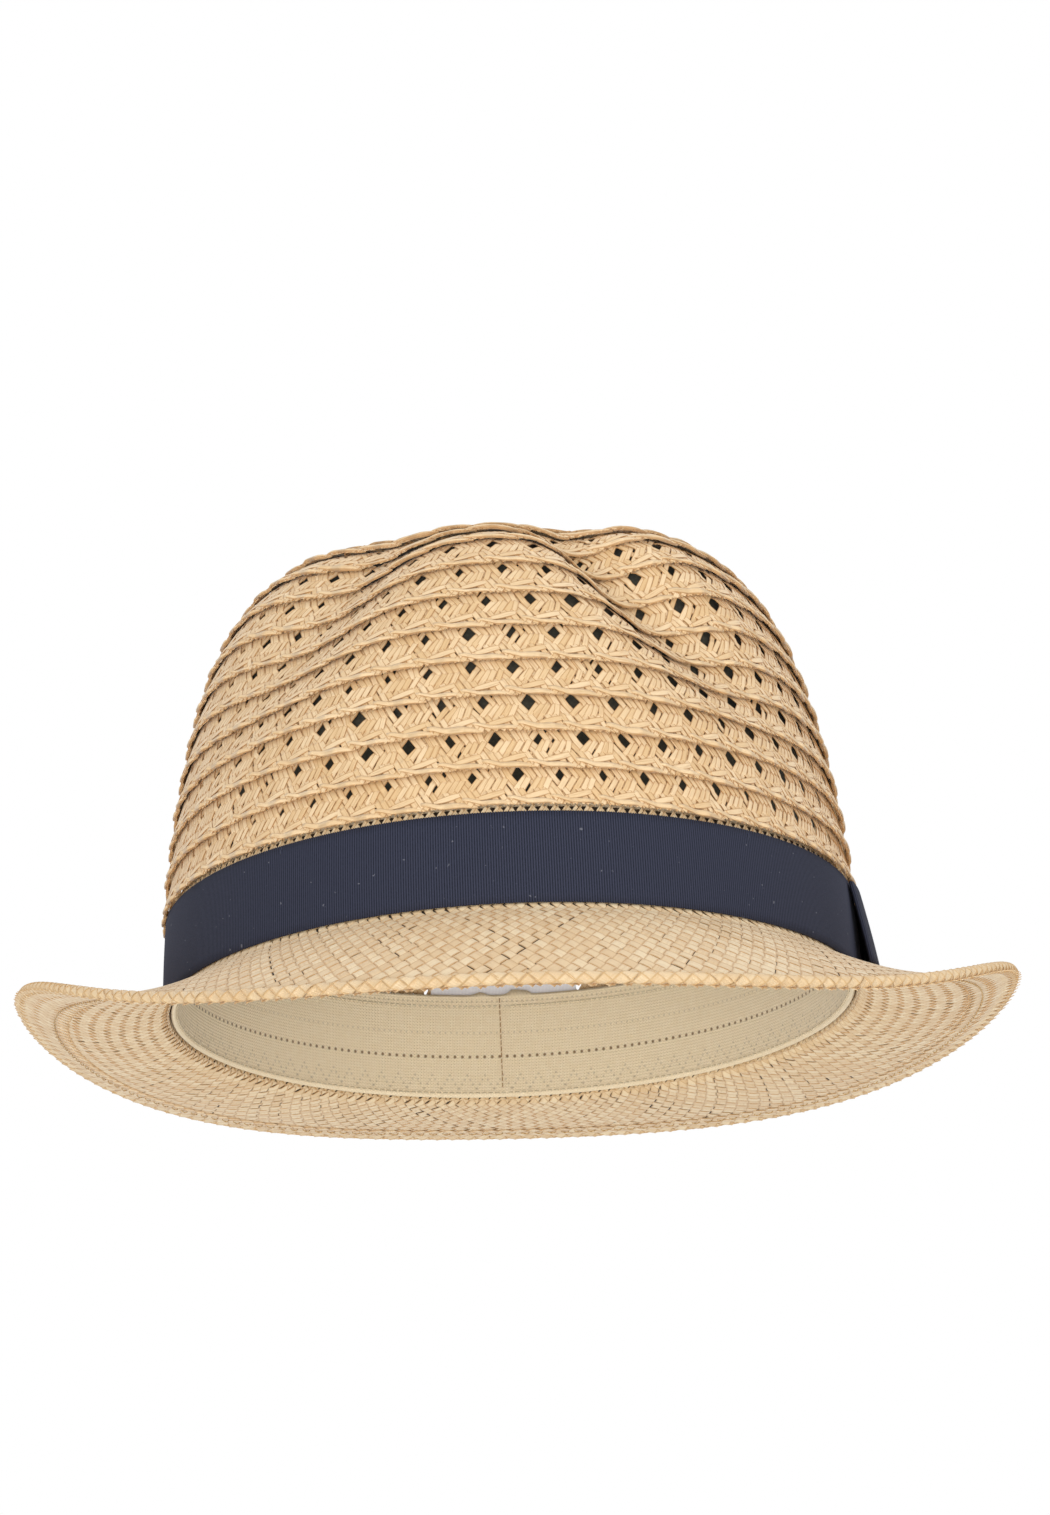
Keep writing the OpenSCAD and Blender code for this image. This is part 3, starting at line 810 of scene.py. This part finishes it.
navy_ribbon = grosgrain("navy_rayon_grosgrain", "#3f4358", "#0d1019")
band_girth = 2 * math.pi * math.sqrt((half_width ** 2 + half_length ** 2) / 2)
band_ribs = round(band_girth / rib_pitch)


def ribbed(along):
    """1 on the crest of a rib and 0 between, for vertices two to a rib."""
    return 0.5 + 0.5 * np.cos(2 * np.pi * along)


def store_rib_light(piece, count, value):
    """Stores value(x, y) of the flat sheet's own UV as the tone of each point, which the grosgrain paints as
    light on rib crests and shade between.
    """
    mesh = piece.data
    corner = np.empty(len(mesh.loops), dtype=np.int32)
    mesh.loops.foreach_get("vertex_index", corner)
    uv = np.empty(len(mesh.loops) * 2)
    mesh.uv_layers["along"].data.foreach_get("uv", uv)
    tone = np.zeros(len(mesh.vertices))
    tone[corner] = value(uv[0::2] * count)
    mesh.attributes.new("tone", "FLOAT", "POINT").data.foreach_set("value", tone)


def on_band(turn, up):
    crest = ribbed(turn * band_ribs)
    at_edge = np.abs(2 * up - 1) ** 12 * np.sign(2 * up - 1)
    s = ribbon_low + (ribbon_high - ribbon_low) * up + 0.14 * at_edge * crest
    return crown_point(s, ribbon_outer - 0.13 + 0.13 * crest, 2 * np.pi * turn)


band = ring_sheet("grosgrain_band", 2 * band_ribs, 10, on_band, 0.5)
store_rib_light(band, band_ribs, ribbed)
band.data.materials.append(navy_ribbon)
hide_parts("ribbon_band")


# ---- Band tacks ----
# Four upright tacks of navy thread catch the band's top edge to the straw.
tack_angles = np.radians([40, 140, 220, 320])
navy_thread = spun_thread("navy_thread", "#39405c", "#1a1e30")


def on_tack(stitch, l, across, height):
    run = tack_angles[stitch] + across / half_width
    return crown_point(ribbon_high - 2.4 + 2.2 * l, ribbon_outer + 0.05 + height, run)


stitch_row("band_tacks", "ribbon_tacks", navy_thread, 4, on_tack, 2.2, 0.3, 0.16)


# ---- Bow ----
# A flat bow of the same ribbon on the wearer's left: one loop to the front and one to the rear, each folded
# back on itself, and a short upright keeper round the middle. Its lower edge stands off the band.
bow_angle = 93
bow_loop = 19
bow_rest = ribbon_outer + 0.4
bow_gap = 3
bow_inset = 0.6
bow_width = ribbon_high - ribbon_low - 2 * bow_inset
ribbon_thickness = 0.55
loop_steps = 130


def folded_sheet(name, along, across, place, closed=False):
    """A strip of ribbon bent by place, which takes how far along and how far across, from 0 to 1."""
    bm = bmesh.new()
    bm.loops.layers.uv.new("along")
    bmesh.ops.create_grid(bm, x_segments=along, y_segments=across, size=0.5, calc_uvs=True)
    flat = np.array([v.co for v in bm.verts]) + 0.5
    for vert, point in zip(bm.verts, place(flat[:, 0], flat[:, 1]) * MM):
        vert.co = point
    if closed:
        bmesh.ops.remove_doubles(bm, verts=bm.verts, dist=1e-6)
    mesh = bpy.data.meshes.new(name)
    bm.to_mesh(mesh)
    bm.free()
    mesh.shade_smooth()
    piece = bpy.data.objects.new(name, mesh)
    bpy.context.collection.objects.link(piece)
    wall = piece.modifiers.new("wall", "SOLIDIFY")
    wall.thickness = ribbon_thickness * MM
    wall.offset = 0
    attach(piece, "root")
    return piece


def stand_off(up):
    """How far the bow stands off the band, from its lower edge up."""
    return bow_gap * (1 - up)


for side, name in ((-1, "bow_front_loop"), (1, "bow_rear_loop")):
    def on_loop(along, up, side=side):
        out = np.clip(np.where(along < 0.5, along / 0.47, (1 - along) / 0.47), 0, 1)
        folded = smooth((along - 0.47) / 0.06)
        crest = ribbed(along * loop_steps / 2)
        puff = 0.3 * np.sin(np.pi * out) * folded
        angle = bow_angle + side * (bow_loop * out + 0.5 * np.sin(np.pi * folded))
        n = bow_rest + 0.1 + 0.65 * folded + puff + stand_off(up) + 0.08 * crest
        s = ribbon_low + bow_inset + bow_width * up
        return crown_point(s, n, np.radians(angle))

    loop = folded_sheet(name + "_ribbon", 2 * loop_steps, 10, on_loop)
    store_rib_light(loop, loop_steps, ribbed)
    loop.data.materials.append(navy_ribbon)
    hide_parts(name)


def on_keeper(along, across):
    """Round the bow: up the front, over the top edge, down behind and under the lower edge."""
    turn = 2 * np.pi * along
    up = 0.5 + 0.5 * np.sign(np.sin(turn)) * np.abs(np.sin(turn)) ** 0.4
    depth = 0.5 + 0.5 * np.sign(np.cos(turn)) * np.abs(np.cos(turn)) ** 0.4
    s = ribbon_low + 0.2 + (ribbon_high - ribbon_low - 0.4) * up
    inner = ribbon_outer + 0.35
    outer = bow_rest + 1.5 + stand_off(up)
    pinch = 0.25 * np.sin(3 * np.pi * across) ** 2 * depth
    angle = bow_angle + 6 * (across - 0.5) * (1 - 0.12 * np.sin(np.pi * up))
    return crown_point(s, inner + (outer - inner) * depth - pinch, np.radians(angle))


keeper = folded_sheet("bow_keeper_ribbon", 96, 18, on_keeper, closed=True)
store_rib_light(keeper, 48, ribbed)
keeper.data.materials.append(navy_ribbon)
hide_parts("bow_keeper")


# ---- Sweatband ----
# A 28 mm band of cream knitted cotton sewn inside the opening, with a row of eyelets and an open zigzag near
# its foot. Its two ends are joined at the centre back, where a frayed end shows over the top.
sweat_inner = -2.6
sweat_low, sweat_high = 0.3, 28
sweat_thickness = 0.9
sweat_girth = 2 * math.pi * math.sqrt(((half_width - 2) ** 2 + (half_length - 2) ** 2) / 2)

knit = bpy.data.materials.new("cream_knitted_cotton")
knit.use_nodes = True
tree = knit.node_tree
shader = tree.nodes["Principled BSDF"]
cloth_at = add_node(tree, "ShaderNodeUVMap", uv_map="along")
in_mm = add_node(tree, "ShaderNodeVectorMath", {
    0: cloth_at.outputs[0], 1: (sweat_girth, sweat_high - sweat_low, 0),
}, operation="MULTIPLY")
mm = add_node(tree, "ShaderNodeSeparateXYZ", {0: in_mm.outputs[0]})


# The wales lie 0.6 mm apart; they are drawn 1 mm apart, each a column of small Vs, so that they show.
knit_row_height = 0.8
vee = add_node(tree, "ShaderNodeMath", {0: mm.outputs[0], 1: 0.5}, operation="PINGPONG")
knit_rows = add_node(tree, "ShaderNodeMath", {
    0: mm.outputs[1], 1: 1 / knit_row_height, 2: vee.outputs[0],
}, operation="MULTIPLY_ADD")
loops = 0.0
for ridges, share in ((vee, 0.6), (knit_rows, 0.4)):
    turns = add_node(tree, "ShaderNodeMath", {0: ridges.outputs[0], 1: 2 * math.pi}, operation="MULTIPLY")
    wave = add_node(tree, "ShaderNodeMath", {0: turns.outputs[0]}, operation="SINE")
    loops = add_node(tree, "ShaderNodeMath", {
        0: wave.outputs[0], 1: share, 2: loops,
    }, operation="MULTIPLY_ADD").outputs[0]


def dots(height, spacing, radius, shift=0.0):
    """A row of round dots: 1 in a dot and 0 outside it."""
    own = add_node(tree, "ShaderNodeVectorMath", {
        0: in_mm.outputs[0], 1: (shift - spacing / 2, -height, 0),
    }, operation="ADD")
    nearest = add_node(tree, "ShaderNodeVectorMath", {
        0: own.outputs[0], 1: (spacing / 2, 100, 1), 2: (-spacing / 2, -100, -1),
    }, operation="WRAP")
    away = add_node(tree, "ShaderNodeVectorMath", {0: nearest.outputs[0]}, operation="LENGTH")
    return add_node(tree, "ShaderNodeMapRange", {
        "Value": away.outputs["Value"], "From Min": radius * 0.6, "From Max": radius * 1.2,
        "To Min": 1, "To Max": 0,
    }).outputs[0]


# Eyelets every 2.2 mm at the middle. Then the smaller dots: a chain row above them and two at the top edge,
# and the seven rows of the zigzag at the foot.
holes = dots(11, 2.2, 0.46)
chains = [(17.5, 1.7, 0.3, 0), (24.6, 1.5, 0.34, 0), (26, 1.5, 0.34, 0.75)]
zigzag = [(6 - 1.2 * abs(step), 5.2, 0.36, 0.8 * step) for step in range(-3, 4)]
for row in chains + zigzag:
    holes = add_node(tree, "ShaderNodeMath", {
        0: dots(*row), 1: 0.3, 2: holes,
    }, operation="MULTIPLY_ADD").outputs[0]
pierced = add_node(tree, "ShaderNodeMath", {0: holes, 1: 1}, operation="MINIMUM")
lint_noise = add_node(tree, "ShaderNodeTexNoise", {"Vector": in_mm.outputs[0], "Scale": 0.5, "Detail": 4})
cotton_tint = add_node(tree, "ShaderNodeMix", {
    0: lint_noise.outputs[0], 6: colour("#fceccf"), 7: colour("#f3ddb6"),
}, data_type="RGBA")
# Painted shade: the hollows between the knitted loops are darkened.
knit_valley_shade = add_node(tree, "ShaderNodeMapRange", {
    "Value": loops, "From Min": -0.6, "From Max": 0.6, "To Min": 0.45, "To Max": 0,
})
loop_shaded = add_node(tree, "ShaderNodeMix", {
    0: knit_valley_shade.outputs[0], 6: cotton_tint.outputs[2], 7: colour("#dcc193"),
}, data_type="RGBA")
# The eyelets and dots are painted dark brown, as the shade seen in the open holes.
holes_shaded = add_node(tree, "ShaderNodeMix", {
    0: pierced.outputs[0], 6: loop_shaded.outputs[2], 7: colour("#8f7654"),
}, data_type="RGBA")
tree.links.new(holes_shaded.outputs[2], shader.inputs["Base Color"])
knit_height = add_node(tree, "ShaderNodeMath", {
    0: pierced.outputs[0], 1: -1.5, 2: loops,
}, operation="MULTIPLY_ADD")
relief = add_node(tree, "ShaderNodeBump", {
    "Height": knit_height.outputs[0], "Strength": 0.6, "Distance": 0.2 * MM,
})
tree.links.new(relief.outputs[0], shader.inputs["Normal"])
shader.inputs["Roughness"].default_value = 0.92
shader.inputs["Sheen Weight"].default_value = 0.25


def on_sweatband(turn, up):
    angle = 2 * np.pi * turn
    from_seam = (angle - np.pi) * half_width
    frayed = 1.3 * smooth((from_seam + 8) / 1.5) * smooth((-0.5 - from_seam) / 1.5)
    frayed = frayed + 0.9 * np.exp(-(((from_seam - 6.5) / 1.6) ** 2))
    frayed = frayed * (0.8 + 0.2 * np.sin(from_seam * 5))
    s = sweat_low + (sweat_high + frayed * (up > 0.99) - sweat_low) * up
    welt = 0.35 * np.exp(-(((up - 0.02) / 0.03) ** 2)) + 0.2 * np.exp(-(((up - 0.98) / 0.02) ** 2))
    seam = 0.35 * np.exp(-((from_seam / 0.9) ** 2))
    wave = 0.12 * np.sin(9 * angle) * up
    spread_foot = 0.7 * np.exp(-((up / 0.04) ** 2))
    return crown_point(s, sweat_inner - welt - seam + wave + spread_foot, angle)


sweatband = ring_sheet("knitted_sweatband", 480, 40, on_sweatband, sweat_thickness, 1)
sweatband.data.materials.append(knit)
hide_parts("sweatband")

cream_thread = spun_thread("cream_thread", "#f0e4c8", "#bfa77c")
top_stitches = 330
foot_stitches = 300
stitch_row(
    "sweatband_top_chain", "sweatband_top_stitches", cream_thread, top_stitches,
    round_row(top_stitches, 0.85, lambda a, across, height: crown_point(
        25 + across, sweat_inner - 0.05 - height, a
    )),
    1.7, 0.3, 0.2,
)
stitch_row(
    "sweatband_foot_chain", "sweatband_lower_stitches", cream_thread, foot_stitches,
    round_row(foot_stitches, 0.7, lambda a, across, height: crown_point(
        1.4 + across, sweat_inner - 0.25 - height, a
    )),
    1.9, 0.3, 0.2,
)

# The brown thread that closes the seam runs up it in short stitches.
seam_thread = spun_thread("brown_seam_thread", "#b58c58", "#86602f")
seam_stitches = 15


def on_seam(stitch, l, across, height):
    s = 2.6 + (stitch + 0.15 + 0.75 * l) * 24.6 / seam_stitches
    return crown_point(s, sweat_inner - 0.45 - height, np.radians(180.8) + across / half_width)


stitch_row(
    "sweatband_seam", "sweatband_seam_thread", seam_thread, seam_stitches, on_seam,
    1.3, 0.2, 0.13,
)


# ---- Label ----
# A plain white satin label behind the sweatband at the centre back, sewn to the straw along its top.
label_low, label_high = 23, 49
label_half_angle = math.asin(20 / half_width)

satin = bpy.data.materials.new("white_label_satin")
satin.use_nodes = True
tree = satin.node_tree
shader = tree.nodes["Principled BSDF"]
satin_at = add_node(tree, "ShaderNodeUVMap", uv_map="along")
# Satin yarns 0.15 mm apart are drawn 0.4 mm apart, as faint upright lines of painted sheen and shade.
yarns = add_node(tree, "ShaderNodeTexWave", {
    "Vector": satin_at.outputs[0], "Scale": 32.0, "Distortion": 0.6, "Detail": 1.0,
}, bands_direction="X")
yarn_light_and_shade = add_node(tree, "ShaderNodeMix", {
    0: yarns.outputs["Fac"], 6: colour("#fdfcff"), 7: colour("#ebe9f0"),
}, data_type="RGBA")
tree.links.new(yarn_light_and_shade.outputs[2], shader.inputs["Base Color"])
shader.inputs["Roughness"].default_value = 0.4
shader.inputs["Sheen Weight"].default_value = 0.2


def on_label(along, up):
    angle = np.pi + label_half_angle * (2 * along - 1)
    return crown_point(
        label_low + (label_high - label_low) * up, -1.35 + 0.06 * np.sin(7 * along) * np.sin(4 * up), angle
    )


label = folded_sheet("satin_label", 48, 30, on_label)
label.modifiers["wall"].thickness = 0.25 * MM
label.data.materials.append(satin)
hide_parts("inner_label")

white_thread = spun_thread("white_thread", "#f6f6f6", "#c9c9cc")
label_stitches = 20


def on_label_seam(stitch, l, across, height):
    angle = np.pi + label_half_angle * (2 * (stitch + 0.2 + 0.6 * l) / label_stitches - 1)
    return crown_point(label_high - 1.2 + across, -1.5 - height, angle)


stitch_row(
    "label_stitching", "label_stitches", white_thread, label_stitches, on_label_seam,
    1.2, 0.2, 0.14,
)
